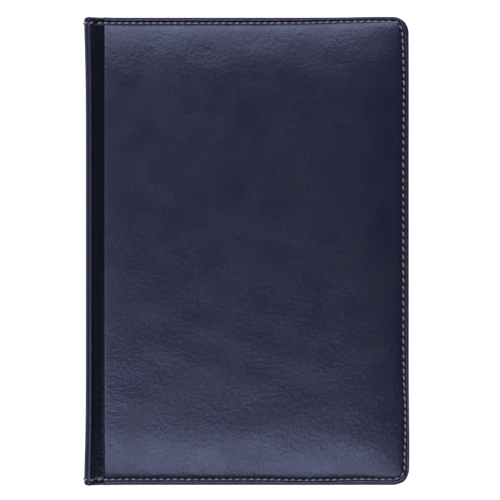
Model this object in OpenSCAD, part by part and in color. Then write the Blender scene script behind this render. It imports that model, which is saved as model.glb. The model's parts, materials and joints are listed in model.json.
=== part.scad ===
// Case-bound logbook, spine on the left, lying shut on its back cover.
// The origin is under the middle of the closed book, +Y is the head and +Z is up.

/* [Case] */
// Width of the closed case, from spine to fore-edge
case_w = 150; // [140:1:170]
// Height of the case, from tail to head
case_h = 216; // [200:1:240]
// Thickness of the closed book
book_t = 23; // [21:0.5:28]
// Thickness of one padded cover with its endpaper
cover_t = 4; // [4:0.1:4.6]
// Thickness of the leathercloth
skin_t = 0.7; // [0.6:0.05:0.8]
// Radius of the fore-edge corners
corner_r = 7.4; // [4:0.2:10]

/* [Joint] */
// Outside radius of the spine's shoulders
shoulder_r = 2.6; // [2.4:0.1:3]
// Height of the shoulder above the outside of the cover
shoulder_rise = 1; // [0.8:0.1:1.2]
// Distance from the spine's outside to the far edge of the groove
groove_end = 8.8; // [8:0.1:11]
// Width of the groove's flat floor
groove_w = 4.6; // [4:0.1:5]
// Depth of the groove below the outside of the cover
groove_depth = 2.8; // [2.4:0.1:2.9]

/* [Boards] */
// Thickness of the cover boards
board_t = 1.9; // [1.6:0.1:2]
// Width of the leathercloth turned in over the board's edges
turn_in_w = 13; // [10:1:18]
// Thickness of the pared turn-in
turn_in_t = 0.4; // [0.3:0.05:0.5]
// Thickness of the card in the spine
spine_card_t = 1.2; // [0.8:0.1:1.2]

/* [Text block] */
// Overhang of the covers past the pages
square_w = 3; // [2:0.5:5]
// Distance from the spine's outside to the folded edge of the pages
hollow_w = 4; // [4:0.1:5]
// Number of sewn sections
section_count = 10; // [10:1:10]
// Number of loose-lying leaves on each side of the middle opening
leaf_count = 2; // [2:1:2]
// Thickness of one leaf
leaf_t = 0.12; // [0.1:0.01:0.15]
// Air between two sections
page_gap = 0.03; // [0.02:0.01:0.05]
// Thickness of an endpaper
endpaper_t = 0.15; // [0.1:0.01:0.2]

/* [Sewing and stitching] */
// Distance of the cover stitching from the edge
stitch_inset = 2.4; // [2:0.1:3]
// Width of the cover thread
stitch_w = 0.7; // [0.5:0.1:0.9]
// Thickness of the cover thread
stitch_depth = 0.4; // [0.3:0.05:0.5]
// Thickness of the sewing thread in the folds
sewing_d = 0.5; // [0.4:0.1:0.6]
// Number of sewing stations along the fold
sewing_stations = 5; // [3:1:7]
// Length of one sewing stitch
sewing_len = 16; // [10:1:20]

/* [Hidden] */
$fn = 64;
LEAVES = ["leaf_left_1", "leaf_left_2", "leaf_right_1", "leaf_right_2"];
SECTIONS = ["section_01", "section_02", "section_03", "section_04", "section_05",
            "section_06", "section_07", "section_08", "section_09", "section_10"];
THREADS = ["thread_01", "thread_02", "thread_03", "thread_04", "thread_05",
           "thread_06", "thread_07", "thread_08", "thread_09", "thread_10"];

NAVY = [0.06, 0.07, 0.13];
LILAC = [0.72, 0.72, 0.8];
PAPER = [0.93, 0.91, 0.86];
CARD = [0.55, 0.53, 0.49];

left_x = -case_w / 2;
right_x = case_w / 2;
half_h = case_h / 2;
mid_z = book_t / 2;
eps = 0.01;

// Shoulders and the hinge lines on their outer surface. An opened spine and cover lie in one plane.
shoulder_x = left_x + shoulder_r;
shoulder_z = shoulder_rise + shoulder_r;
hinge_a = 225 + asin(shoulder_rise / (shoulder_r * sqrt(2)));
hinge_gap_a = 0.25;

// Padded cover, measured from the outside of the back cover at z = 0
pad_x0 = left_x + groove_end;
groove_x0 = pad_x0 - groove_w;
board_z1 = cover_t - endpaper_t;
board_z0 = board_z1 - board_t;
// Height where the upright edge of the cover ends and its crown begins
edge_z = 1.7;
// Height and distance in from the edge, from the edge to the flat middle of the crown
crown = [[1, 1], [0.65, 3], [0.25, 8], [0.06, 15], [0, 24]];
// Share of that distance on the side of the groove, where the pad isn't stitched down
groove_side = 0.12;
slab_t = 0.02;
groove_corner_r = 0.8;
// Share of the way from shoulder to groove where the skin starts to fall, and its drop by then
fall_share = 0.45;
fall_drop = 0.35;

// Pages
page_x0 = left_x + hollow_w;
page_x1 = right_x - square_w;
page_h = case_h - 2 * square_w;
half_count = section_count / 2;
fly_z0 = cover_t + page_gap;
section_z0 = fly_z0 + endpaper_t + page_gap;
leaf_step = leaf_t + page_gap;
pile_top = mid_z - page_gap / 2 - leaf_count * leaf_step;
section_step = (pile_top + page_gap - section_z0) / half_count;
section_t = section_step - page_gap;
sewing_pitch = page_h / (sewing_stations + 1);
pastedown_x1 = right_x - 2.5;
pastedown_h = case_h - 5;

// Spine of the text block
lining_h = page_h - 12;
mull_t = 0.2;
lining_t = 0.25;
glue_gap = 0.04;
band_r = 0.75;
// Tape that carries the band, on the lining and over the end of the pages
band_tape_w = 8;
band_tape_t = 0.2;
band_tape_over = 2;
band_fold_w = 1;
spine_margin = 0.25;

// Shapes

// Puts a back-cover shape on the front, face to face with the back
module on_front() {
    translate([0, 0, book_t]) mirror([0, 0, 1]) children();
}

// Runs a profile drawn in X and Z along the whole book, centred on Y
module along_y(length) {
    rotate([90, 0, 0]) linear_extrude(length, center = true) children();
}

// Outline of a cover, pulled in by inset, and by inset * side at the groove
module cover_outline(inset, side = 1) {
    r = max(corner_r - inset, 0.6);
    x0 = pad_x0 + inset * side + groove_corner_r;
    y0 = half_h - inset - groove_corner_r;
    x1 = right_x - inset - r;
    y1 = half_h - inset - r;
    hull() {
        for (s = [-1, 1]) {
            translate([x0, s * y0]) circle(groove_corner_r, $fn = 24);
            translate([x1, s * y1]) circle(r, $fn = 32);
        }
    }
}

// Crown of a cover up to z_top, with a skin of the given thickness taken off
module crowned(skin, z_top) {
    hull() {
        for (c = crown) {
            translate([0, 0, c[0] + skin])
                linear_extrude(slab_t)
                    cover_outline(c[1] + skin, (c[1] * groove_side + skin) / (c[1] + skin));
        }
        translate([0, 0, z_top - slab_t]) linear_extrude(slab_t) cover_outline(skin);
    }
}

// Board before its rebate
module board_block() {
    translate([0, 0, board_z0]) linear_extrude(board_t) cover_outline(skin_t);
}

// Turned-in edge of the leathercloth on the board's inner face, at head, fore-edge and tail
module turn_in() {
    translate([0, 0, board_z1 - turn_in_t]) linear_extrude(turn_in_t) difference() {
        cover_outline(skin_t);
        translate([left_x, -half_h + turn_in_w]) square([case_w - turn_in_w, case_h - 2 * turn_in_w]);
    }
}

// Flexible strip from the hinge line over the shoulder and through the groove to the pad
module groove_strip() {
    rise_x = (groove_x0 - shoulder_x) * fall_share;
    outside = [[shoulder_x, shoulder_rise], [shoulder_x + rise_x, shoulder_rise + fall_drop],
               [groove_x0, groove_depth], [pad_x0 + skin_t / 2, groove_depth]];
    inside = [[pad_x0 + skin_t / 2, groove_depth + skin_t], [groove_x0 - skin_t / 2, groove_depth + skin_t],
              [shoulder_x + rise_x - skin_t / 2, shoulder_rise + fall_drop + skin_t],
              [shoulder_x, shoulder_rise + skin_t]];
    along_y(case_h) {
        shoulder_arc(hinge_a + hinge_gap_a, 270);
        polygon(concat(outside, inside));
    }
}

// Arc of skin around the bottom shoulder, between two angles
module shoulder_arc(from, to) {
    reach = 2 * shoulder_r;
    mid = (from + to) / 2;
    translate([shoulder_x, shoulder_z]) intersection() {
        difference() {
            circle(shoulder_r);
            circle(shoulder_r - skin_t);
        }
        polygon([[0, 0], reach * [cos(from), sin(from)], reach * [cos(mid), sin(mid)],
                 reach * [cos(to), sin(to)]]);
    }
}

// Thread lying on the cover, along head, fore-edge and tail
module stitch_ring() {
    // Height of the crown under the thread's inner edge, less a hair of air
    surface_z = 0.69;
    translate([0, 0, surface_z - stitch_depth]) linear_extrude(stitch_depth) difference() {
        cover_outline(stitch_inset - stitch_w / 2, 0);
        cover_outline(stitch_inset + stitch_w / 2, 0);
        translate([left_x, stitch_inset * 2 - half_h]) square([case_w / 2, case_h - stitch_inset * 4]);
    }
}

// Thread over the head and tail of the spine
module spine_threads() {
    for (s = [-1, 1]) {
        translate([0, s * (half_h - stitch_inset), 0]) along_y(stitch_w) spine_profile(0, stitch_depth);
    }
}

// Bent section of the spine between two depths below its outer surface
module spine_profile(outer, inner) {
    for (top = [0, 1]) {
        translate([0, top * book_t]) mirror([0, top]) translate([shoulder_x, shoulder_z]) intersection() {
            difference() {
                circle(shoulder_r - outer);
                circle(shoulder_r - inner);
            }
            polygon([[0, 0], 4 * [-shoulder_r, 0], 4 * shoulder_r * [cos(210), sin(210)],
                     4 * shoulder_r * [cos(hinge_a - hinge_gap_a), sin(hinge_a - hinge_gap_a)]]);
        }
    }
    translate([left_x + outer, shoulder_z]) square([inner - outer, book_t - 2 * shoulder_z]);
}

module cover_leather() {
    difference() {
        union() {
            crowned(0, edge_z);
            translate([0, 0, edge_z]) linear_extrude(board_z1 - edge_z) cover_outline(0);
        }
        crowned(skin_t, board_z0);
        board_block();
    }
    groove_strip();
    turn_in();
}

module cover_foam() {
    crowned(skin_t, board_z0);
}

module cover_board() {
    difference() {
        board_block();
        turn_in();
    }
}

// One folded sheet: pasted down on the board, free as a flyleaf
module endpaper() {
    fly_z1 = fly_z0 + endpaper_t;
    translate([page_x0, -pastedown_h / 2, board_z1])
        cube([pastedown_x1 - page_x0, pastedown_h, endpaper_t]);
    translate([page_x0, -page_h / 2, fly_z0]) cube([page_x1 - page_x0, page_h, endpaper_t]);
    translate([page_x0, -page_h / 2, board_z1]) cube([endpaper_t, page_h, fly_z1 - board_z1]);
}

// Sewing stitches of one section, in the outside of its fold
module fold_stitches() {
    for (i = [1 : sewing_stations]) {
        translate([page_x0 + sewing_d / 2, i * sewing_pitch - page_h / 2, section_t / 2])
            rotate([90, 0, 0]) cylinder(h = sewing_len, d = sewing_d, center = true, $fn = 24);
    }
}

// Height of section i, counted from the front of the book
function section_z(i) =
    i > half_count
    ? section_z0 + (section_count - i) * section_step
    : book_t - section_z0 - section_t - (i - 1) * section_step;

module spine_band(side) {
    tape_x0 = page_x0 - mull_t - lining_t - 3 * glue_gap - band_tape_t;
    tape_h = band_tape_w + band_tape_over;
    band_z = book_t - 2 * section_z0;
    color("lightsteelblue") {
        translate([page_x0 + band_r, side * (page_h / 2 + band_r + eps), section_z0])
            cylinder(h = band_z, r = band_r, $fn = 32);
        translate([tape_x0, side * (page_h / 2 + band_fold_w + eps - tape_h / 2) - tape_h / 2, section_z0])
            cube([band_tape_t, tape_h, band_z]);
        translate([tape_x0, side * (page_h / 2 + band_fold_w / 2 + eps) - band_fold_w / 2, section_z0])
            cube([page_x0 + band_r - tape_x0, band_fold_w, band_z]);
    }
}

// Sub-parts

module back_cover_leather() {
    color(NAVY) cover_leather();
}

module back_foam_pad() {
    color("khaki") cover_foam();
}

module back_board() {
    color(CARD) cover_board();
}

module back_stitching() {
    color(LILAC) stitch_ring();
}

module back_endpaper() {
    color(PAPER) endpaper();
}

module front_cover_leather() {
    color(NAVY) on_front() cover_leather();
}

module front_foam_pad() {
    color("khaki") on_front() cover_foam();
}

module front_board() {
    color(CARD) on_front() cover_board();
}

module front_stitching() {
    color(LILAC) on_front() stitch_ring();
}

module front_endpaper() {
    color(PAPER) on_front() endpaper();
}

module spine_leather() {
    lip_x = left_x + skin_t + spine_card_t;
    color(NAVY) difference() {
        union() {
            along_y(case_h) spine_profile(0, skin_t);
            // Turned over the card's ends, and a pared lip down its inside
            for (s = [-1, 1]) {
                translate([left_x + skin_t / 2, s * (half_h - skin_t / 2) - skin_t / 2, shoulder_z])
                    cube([lip_x - left_x - skin_t / 2, skin_t, book_t - 2 * shoulder_z]);
                translate([lip_x, s * (half_h - turn_in_w / 2) - turn_in_w / 2, shoulder_z])
                    cube([turn_in_t, turn_in_w, book_t - 2 * shoulder_z]);
            }
        }
        spine_threads();
    }
}

module spine_card() {
    card_h = case_h - 2 * skin_t;
    color(CARD) translate([left_x + skin_t, -card_h / 2, shoulder_z])
        cube([spine_card_t, card_h, book_t - 2 * shoulder_z]);
}

module spine_stitching() {
    color(LILAC) spine_threads();
}

module mull() {
    color("beige") translate([page_x0 - glue_gap - mull_t, -lining_h / 2, section_z0 + spine_margin])
        cube([mull_t, lining_h, book_t - 2 * section_z0 - 2 * spine_margin]);
}

module spine_lining() {
    x0 = page_x0 - 2 * glue_gap - mull_t - lining_t;
    color("peru") translate([x0, -lining_h / 2, section_z0 + spine_margin])
        cube([lining_t, lining_h, book_t - 2 * section_z0 - 2 * spine_margin]);
}

module headband() {
    spine_band(1);
}

module tailband() {
    spine_band(-1);
}

module section(i) {
    color(PAPER) translate([0, 0, section_z(i)]) difference() {
        translate([page_x0, -page_h / 2, 0]) cube([page_x1 - page_x0, page_h, section_t]);
        fold_stitches();
    }
}

module thread(i) {
    color("white") translate([0, 0, section_z(i)]) fold_stitches();
}

// Leaf k of one side, counted outwards from its pile to the middle opening
module leaf(k, left) {
    z = pile_top + page_gap + (k - 1) * leaf_step;
    color(PAPER)
        translate([page_x0, -page_h / 2, left ? book_t - z - leaf_t : z])
            cube([page_x1 - page_x0, page_h, leaf_t]);
}

back_cover_leather();
back_foam_pad();
back_board();
back_stitching();
back_endpaper();
front_cover_leather();
front_foam_pad();
front_board();
front_stitching();
front_endpaper();
spine_leather();
spine_card();
spine_stitching();
mull();
spine_lining();
headband();
tailband();
for (i = [1 : section_count]) section(i);
for (i = [1 : section_count]) thread(i);
for (k = [1 : leaf_count]) leaf(k, true);
for (k = [1 : leaf_count]) leaf(k, false);
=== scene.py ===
# %% [markdown]
# A padded, case-bound logbook. The solid model gives every piece its place, so the script starts
# by loading it and keeping its outer box. Everything below is in metres, and is placed from that
# box and from the boxes of single parts.

# %% Load the frame
import json
import math
import bpy
import numpy as np
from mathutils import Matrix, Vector
from mathutils.kdtree import KDTree


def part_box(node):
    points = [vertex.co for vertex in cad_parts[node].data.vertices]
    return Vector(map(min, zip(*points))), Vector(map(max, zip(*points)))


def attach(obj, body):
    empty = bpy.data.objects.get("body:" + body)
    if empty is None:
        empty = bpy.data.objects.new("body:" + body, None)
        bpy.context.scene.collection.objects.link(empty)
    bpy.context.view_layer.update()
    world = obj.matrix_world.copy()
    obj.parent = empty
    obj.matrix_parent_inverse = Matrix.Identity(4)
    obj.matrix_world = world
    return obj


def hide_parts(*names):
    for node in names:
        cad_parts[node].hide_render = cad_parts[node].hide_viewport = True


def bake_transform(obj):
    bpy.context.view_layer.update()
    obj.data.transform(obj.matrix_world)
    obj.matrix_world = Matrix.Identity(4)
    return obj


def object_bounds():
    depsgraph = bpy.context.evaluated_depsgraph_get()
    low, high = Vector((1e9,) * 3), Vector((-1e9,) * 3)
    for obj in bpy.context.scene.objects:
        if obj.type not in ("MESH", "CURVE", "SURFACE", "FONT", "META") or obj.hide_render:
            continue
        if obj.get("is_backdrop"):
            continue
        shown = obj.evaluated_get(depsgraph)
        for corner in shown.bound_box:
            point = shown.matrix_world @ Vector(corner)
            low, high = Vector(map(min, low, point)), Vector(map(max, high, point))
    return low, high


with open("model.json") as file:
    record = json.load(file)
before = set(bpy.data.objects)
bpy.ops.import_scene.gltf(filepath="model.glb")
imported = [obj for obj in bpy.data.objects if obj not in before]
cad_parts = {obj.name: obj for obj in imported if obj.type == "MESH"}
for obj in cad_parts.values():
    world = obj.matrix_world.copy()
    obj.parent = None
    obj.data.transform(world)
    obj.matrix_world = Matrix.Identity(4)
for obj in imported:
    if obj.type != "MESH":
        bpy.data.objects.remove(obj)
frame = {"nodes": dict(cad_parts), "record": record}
cad_low, cad_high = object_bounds()
MM = 0.001
print("case", [round(v / MM, 1) for v in cad_high - cad_low], "mm")

# %% [markdown]
# A few sizes of the case are read once from the solid parts: the inner face of the front board,
# the edge of the pad along the groove, and the centre of the spine's shoulder.

# %% Sizes of the case
left = cad_low.x
right = cad_high.x
half_h = cad_high.y
top = cad_high.z
board_low, board_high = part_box("front_board")
card_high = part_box("spine_card")[1]
pages_low, pages_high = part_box("section_06")
mid_z = top / 2
inner_z = board_low.z
pad_x0 = board_low.x - 0.7 * MM
shoulder_r = 2.6 * MM
shoulder_x = left + shoulder_r
shoulder_z = card_high.z
corner_r = 7.4 * MM
print("pad starts at", round(pad_x0 / MM, 2), "shoulder at", round(shoulder_z / MM, 2))

# %% [markdown]
# The camera looks straight down on the closed book from far away, so that upright edges hide
# behind the cover. A long lens does the same job as a tall tripod in a product studio.

# %% Camera
scene = bpy.context.scene
camera = bpy.data.objects.new("camera", bpy.data.cameras.new("camera"))
scene.collection.objects.link(camera)
scene.camera = camera
camera_height = 1.2
view_width = 230.7 * MM
camera.data.sensor_width = 36
camera.data.lens = camera.data.sensor_width * camera_height / view_width
camera.data.clip_end = 20
camera.location = (1.6 * MM, 0.6 * MM, top + camera_height)
print("lens", round(camera.data.lens, 1), "mm")


# %% [markdown]
# The studio is a plain pale floor, a weak pale surround, and large soft lamps. Smooth leathercloth
# shows its form by what it mirrors, so the strong lamps stand at the head and the tail, a weak one
# at the spine side, and the fore-edge side stays nearly dark.

# %% Studio
def area_lamp(name, place, aim, width, height, power, colour=(1, 1, 1)):
    data = bpy.data.lights.new(name, "AREA")
    data.shape = "RECTANGLE"
    data.size = width
    data.size_y = height
    data.energy = power
    data.color = colour
    lamp = bpy.data.objects.new(name, data)
    lamp.location = place
    lamp.rotation_euler = (Vector(aim) - Vector(place)).to_track_quat("-Z", "Y").to_euler()
    scene.collection.objects.link(lamp)
    return lamp


area_lamp("head_lamp", (-0.16, 0.65, 1.35), (0, 0, 0), 1.3, 0.45, 9.3)
area_lamp("tail_lamp", (-0.12, -0.375, 1.35), (0, 0, 0), 1.2, 0.23, 4.8)
area_lamp("spine_lamp", (-0.9, 0, 1.25), (0, 0, 0), 0.45, 1.1, 0.8)
area_lamp("fore_edge_lamp", (1.5, 0, 0.9), (0, 0, 0), 0.4, 1.0, 0.6)
world = bpy.data.worlds.new("surround")
scene.world = world
world.use_nodes = True
world.node_tree.nodes["Background"].inputs["Color"].default_value = (0.93, 0.96, 1, 1)
world.node_tree.nodes["Background"].inputs["Strength"].default_value = 0.1
scene.view_settings.view_transform = "Standard"
print("lamps", len(bpy.data.lights))


# %% [markdown]
# Materials are node trees. One helper makes the tree with its Principled shader and sets the
# constants on the shader itself. Another makes a node and fills its inputs: an input takes either
# a plain value or the output of another node.

# %% Material helpers
def new_material(name, colour, roughness, **constants):
    material = bpy.data.materials.new(name)
    material.use_nodes = True
    shader = material.node_tree.nodes["Principled BSDF"]
    shader.inputs["Base Color"].default_value = (*colour, 1)
    shader.inputs["Roughness"].default_value = roughness
    for key, value in constants.items():
        shader.inputs[key.replace("_", " ")].default_value = value
    return material


def put(tree, value, socket):
    """Links the value if it comes out of another node, and stores it if it is a plain value."""
    if isinstance(value, bpy.types.NodeSocket):
        tree.links.new(value, socket)
    else:
        socket.default_value = value


def node(tree, kind, **values):
    """Makes a node. A name that isn't one of its settings is one of its inputs."""
    made = tree.nodes.new(kind)
    for key, value in values.items():
        if hasattr(made, key):
            setattr(made, key, value)
        else:
            put(tree, value, made.inputs[key.replace("_", " ")])
    return made


def math_node(tree, operation, *values):
    made = node(tree, "ShaderNodeMath", operation=operation)
    for socket, value in zip(made.inputs, values):
        put(tree, value, socket)
    return made.outputs[0]


def mix_colour(tree, factor, a, b):
    made = node(tree, "ShaderNodeMix", data_type="RGBA")
    for socket, value in ((made.inputs[0], factor), (made.inputs[6], a), (made.inputs[7], b)):
        put(tree, (*value, 1) if isinstance(value, tuple) else value, socket)
    return made.outputs[2]


def ramp(tree, value, low, high):
    return node(tree, "ShaderNodeMapRange", Value=value, From_Min=low, From_Max=high).outputs["Result"]


def stored_value(tree, name):
    """A value that the mesh stores on its points."""
    return node(tree, "ShaderNodeAttribute", attribute_name=name).outputs["Fac"]


print("material helpers ready")


# %% [markdown]
# Where several finishes need the same effect, it is a node group: a small node tree with its own
# sockets, built once. These helpers build one, place one in a material, and feed the shader.

# %% Group helpers
def group_tree(name, inputs, outputs):
    tree = bpy.data.node_groups.new(name, "ShaderNodeTree")
    for label, kind in inputs:
        tree.interface.new_socket(label, in_out="INPUT", socket_type=kind)
    for label, kind in outputs:
        tree.interface.new_socket(label, in_out="OUTPUT", socket_type=kind)
    return tree, tree.nodes.new("NodeGroupInput"), tree.nodes.new("NodeGroupOutput")


def use_group(tree, group, **values):
    return node(tree, "ShaderNodeGroup", node_tree=group, **values)


def feed(material, socket, value):
    put(material.node_tree, value, material.node_tree.nodes["Principled BSDF"].inputs[socket])


def bump(material, height, distance, strength=1.0):
    made = node(material.node_tree, "ShaderNodeBump", Strength=strength, Distance=distance, Height=height)
    feed(material, "Normal", made.outputs["Normal"])


def place_of(material, attribute=None):
    """Where the pattern is read: the piece's own coordinates, or those of the flat, unbent piece."""
    tree = material.node_tree
    if attribute is None:
        return node(tree, "ShaderNodeTexCoord").outputs["Object"]
    return node(tree, "ShaderNodeAttribute", attribute_name=attribute).outputs["Vector"]


print("group helpers ready")


# %% [markdown]
# Leathercloth is a plastic skin embossed with a fine pebble. The grain group makes the pebble from
# the cells of a Voronoi pattern, bent by noise so that no row lines up, and adds pores. It puts out
# a height for the bump and a slow mottle for colour and gloss.

# %% Grain group
grain, grain_in, grain_out = group_tree(
    "embossed_grain",
    [("Place", "NodeSocketVector"), ("Pebble Size", "NodeSocketFloat")],
    [("Height", "NodeSocketFloat"), ("Mottle", "NodeSocketFloat"), ("Crease", "NodeSocketFloat")],
)
grain_place = grain_in.outputs["Place"]
warp_reach = (0.00035, 0.00035, 0.00035)
density = math_node(grain, "DIVIDE", 1.0, grain_in.outputs["Pebble Size"])
warp = node(grain, "ShaderNodeTexNoise", Vector=grain_place, Scale=900.0, Detail=2.0)
bend = node(grain, "ShaderNodeVectorMath", operation="MULTIPLY_ADD")
for socket, value in zip(bend.inputs, (warp.outputs["Color"], warp_reach, grain_place)):
    put(grain, value, socket)
cells = node(grain, "ShaderNodeTexVoronoi", feature="DISTANCE_TO_EDGE", Vector=bend.outputs[0],
             Scale=density)
pebble = ramp(grain, cells.outputs["Distance"], 0.0, 0.28)
fine = node(grain, "ShaderNodeTexNoise", Vector=grain_place, Scale=4200.0, Detail=3.0)
grain_sum = math_node(grain, "ADD", math_node(grain, "MULTIPLY", pebble, 0.2),
                      math_node(grain, "MULTIPLY", fine.outputs["Fac"], 0.2))
slow = node(grain, "ShaderNodeTexNoise", Vector=grain_place, Scale=55.0, Detail=5.0, Roughness=0.62)
folds = node(grain, "ShaderNodeTexNoise", Vector=grain_place, Scale=480.0, Detail=3.0, Roughness=0.65,
             Distortion=0.25)
put(grain, grain_sum, grain_out.inputs["Height"])
put(grain, ramp(grain, slow.outputs["Fac"], 0.32, 0.7), grain_out.inputs["Mottle"])
put(grain, folds.outputs["Fac"], grain_out.inputs["Crease"])
print("group", grain.name)

# %% [markdown]
# The navy leathercloth reads its grain from the flat place of each point, which is stored on the
# mesh, so the grain bends with the joint. The stitch line and the groove are pressed in, and their
# colour is painted darker as shade; the upright edges and the spine's wall are painted darker too.
# The rim and the top of the shoulder are painted a little paler, partly as wear and partly as a
# painted highlight.

# %% Leathercloth
NAVY = (0.0095, 0.0108, 0.030)
leathercloth = new_material("navy_leathercloth", NAVY, 0.27, Specular_IOR_Level=0.7,
                            Specular_Tint=(0.56, 0.62, 1, 1))
tree = leathercloth.node_tree
skin_grain = use_group(tree, grain, Place=place_of(leathercloth, "flat_place"), Pebble_Size=0.00062)
valley = stored_value(tree, "valley")
rubbed = stored_value(tree, "rubbed")
dull = stored_value(tree, "dull")
# Painted shade: the stitch valley, the groove, the upright edges and the spine's wall are darkened in colour
shade = math_node(tree, "MAXIMUM", valley, math_node(tree, "MULTIPLY", dull, 0.7))
mottled = mix_colour(tree, skin_grain.outputs["Mottle"], (0.0105, 0.0105, 0.0245), (0.0095, 0.0118, 0.040))
# Paler colour on the rim and the shoulder's top: partly wear, partly a painted highlight
worn_and_lit = mix_colour(tree, math_node(tree, "MULTIPLY", rubbed, 0.35), mottled, (0.03, 0.033, 0.07))
# The painted shade is mixed into the colour here, towards near-black
painted_shade_colour = mix_colour(tree, math_node(tree, "MULTIPLY", shade, 0.85), worn_and_lit, (0.003, 0.0032, 0.007))
feed(leathercloth, "Base Color", painted_shade_colour)
gloss = math_node(tree, "MULTIPLY_ADD", skin_grain.outputs["Mottle"], -0.07, 0.3)
rough = math_node(tree, "SUBTRACT", gloss, math_node(tree, "MULTIPLY", valley, 0.12))
feed(leathercloth, "Roughness", math_node(tree, "ADD", rough, math_node(tree, "MULTIPLY", dull, 0.45)))
relief = math_node(tree, "ADD", skin_grain.outputs["Height"],
                   math_node(tree, "MULTIPLY", skin_grain.outputs["Crease"], 3.6))
bump(leathercloth, relief, 0.00005, 0.55)
print("material", leathercloth.name)

# %% [markdown]
# Thread is two plies twisted together. Each stitch carries two values, the distance along it and
# the turn around it, and a sine of both draws the plies as a spiral ridge. The cover thread and the
# wrapped bands share this group.

# %% Twist group and threads
twist, twist_in, twist_out = group_tree(
    "twisted_plies",
    [("Along", "NodeSocketFloat"), ("Around", "NodeSocketFloat"), ("Lay", "NodeSocketFloat")],
    [("Height", "NodeSocketFloat")],
)
turns = math_node(twist, "ADD", math_node(twist, "MULTIPLY", twist_in.outputs["Around"], 2.0),
                  math_node(twist, "DIVIDE", twist_in.outputs["Along"], twist_in.outputs["Lay"]))
wave = math_node(twist, "SINE", math_node(twist, "MULTIPLY", turns, math.tau))
put(twist, math_node(twist, "MULTIPLY_ADD", wave, 0.5, 0.5), twist_out.inputs["Height"])


def thread_material(name, colour, ply_shade_colour, lay):
    made = new_material(name, colour, 0.5, Sheen_Weight=0.25, Sheen_Roughness=0.4)
    tree = made.node_tree
    plies = use_group(tree, twist, Along=stored_value(tree, "along"), Around=stored_value(tree, "around"),
                      Lay=lay)
    # Painted shade: the lay between the plies is darker in colour
    feed(made, "Base Color", mix_colour(tree, plies.outputs["Height"], ply_shade_colour, colour))
    bump(made, plies.outputs["Height"], 0.00012)
    return made


cover_thread = thread_material("lilac_grey_thread", (0.50, 0.50, 0.60), (0.24, 0.24, 0.32), 0.0011)
print("material", cover_thread.name)


# %% [markdown]
# Paper, board and cloth inside the book share one fibre group: fine noise stretched a little, for
# the tooth of the sheet and its cloudy colour.

# %% Fibre group and paper
fibre, fibre_in, fibre_out = group_tree(
    "fibre",
    [("Place", "NodeSocketVector"), ("Size", "NodeSocketFloat")],
    [("Height", "NodeSocketFloat"), ("Cloud", "NodeSocketFloat")],
)
fibre_scale = math_node(fibre, "DIVIDE", 1.0, fibre_in.outputs["Size"])
tooth = node(fibre, "ShaderNodeTexNoise", Vector=fibre_in.outputs["Place"], Scale=fibre_scale, Detail=5.0,
             Roughness=0.65, Distortion=0.4)
cloud = node(fibre, "ShaderNodeTexNoise", Vector=fibre_in.outputs["Place"], Scale=70.0, Detail=3.0)
put(fibre, tooth.outputs["Fac"], fibre_out.inputs["Height"])
put(fibre, ramp(fibre, cloud.outputs["Fac"], 0.3, 0.7), fibre_out.inputs["Cloud"])


def fibre_material(name, colour, pale, size, depth, roughness=0.85, attribute=None):
    made = new_material(name, colour, roughness)
    tree = made.node_tree
    body = use_group(tree, fibre, Place=place_of(made, attribute), Size=size)
    spread = math_node(tree, "MULTIPLY", body.outputs["Height"], 0.6)
    cloudy = math_node(tree, "ADD", spread, math_node(tree, "MULTIPLY", body.outputs["Cloud"], 0.4))
    feed(made, "Base Color", mix_colour(tree, cloudy, colour, pale))
    bump(made, body.outputs["Height"], depth)
    return made


endpaper_finish = fibre_material("cream_endpaper", (0.72, 0.69, 0.60), (0.80, 0.77, 0.69), 0.0004, 0.00002)
board_finish = fibre_material("grey_board", (0.23, 0.215, 0.19), (0.40, 0.38, 0.34), 0.0011, 0.00006)
foam_finish = fibre_material("foam", (0.62, 0.57, 0.42), (0.78, 0.74, 0.60), 0.0009, 0.0002)
kraft_finish = fibre_material("kraft_paper", (0.31, 0.19, 0.10), (0.45, 0.30, 0.17), 0.0006, 0.00003,
                              attribute="flat_place")
mull_finish = fibre_material("mull_gauze", (0.55, 0.51, 0.40), (0.78, 0.75, 0.66), 0.0007, 0.00012,
                             attribute="flat_place")
sewing_finish = fibre_material("sewing_thread", (0.62, 0.60, 0.53), (0.82, 0.81, 0.76), 0.0002, 0.00005)
print("fibre finishes", 6)

# %% [markdown]
# A logbook page is a printed form: a head band, ruled rows and columns. The lines are drawn from
# the flat place of the page, inside margins, so the cut edges of the sheets stay plain.

# %% Ruled page
PAPER = (0.80, 0.775, 0.69)
PAPER_PALE = (0.86, 0.84, 0.77)
INK = (0.10, 0.16, 0.30)
margin = 9 * MM
form_left, form_right = pages_low.x + margin, pages_high.x - margin
form_low, form_high = pages_low.y + margin, pages_high.y - margin
row_pitch = 7 * MM
line_w = 0.28 * MM
column_shares = [0.0, 0.14, 0.27, 0.40, 0.52, 0.64, 0.76, 0.88, 1.0]


def line_mask(tree, value, at, width=line_w):
    """1 on a line of that width at the value, 0 away from it."""
    away = math_node(tree, "ABSOLUTE", math_node(tree, "SUBTRACT", value, at))
    return math_node(tree, "LESS_THAN", away, width / 2)


def inside_mask(tree, value, low, high):
    above = math_node(tree, "GREATER_THAN", value, low - line_w / 2)
    below = math_node(tree, "LESS_THAN", value, high + line_w / 2)
    return math_node(tree, "MULTIPLY", above, below)


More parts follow.
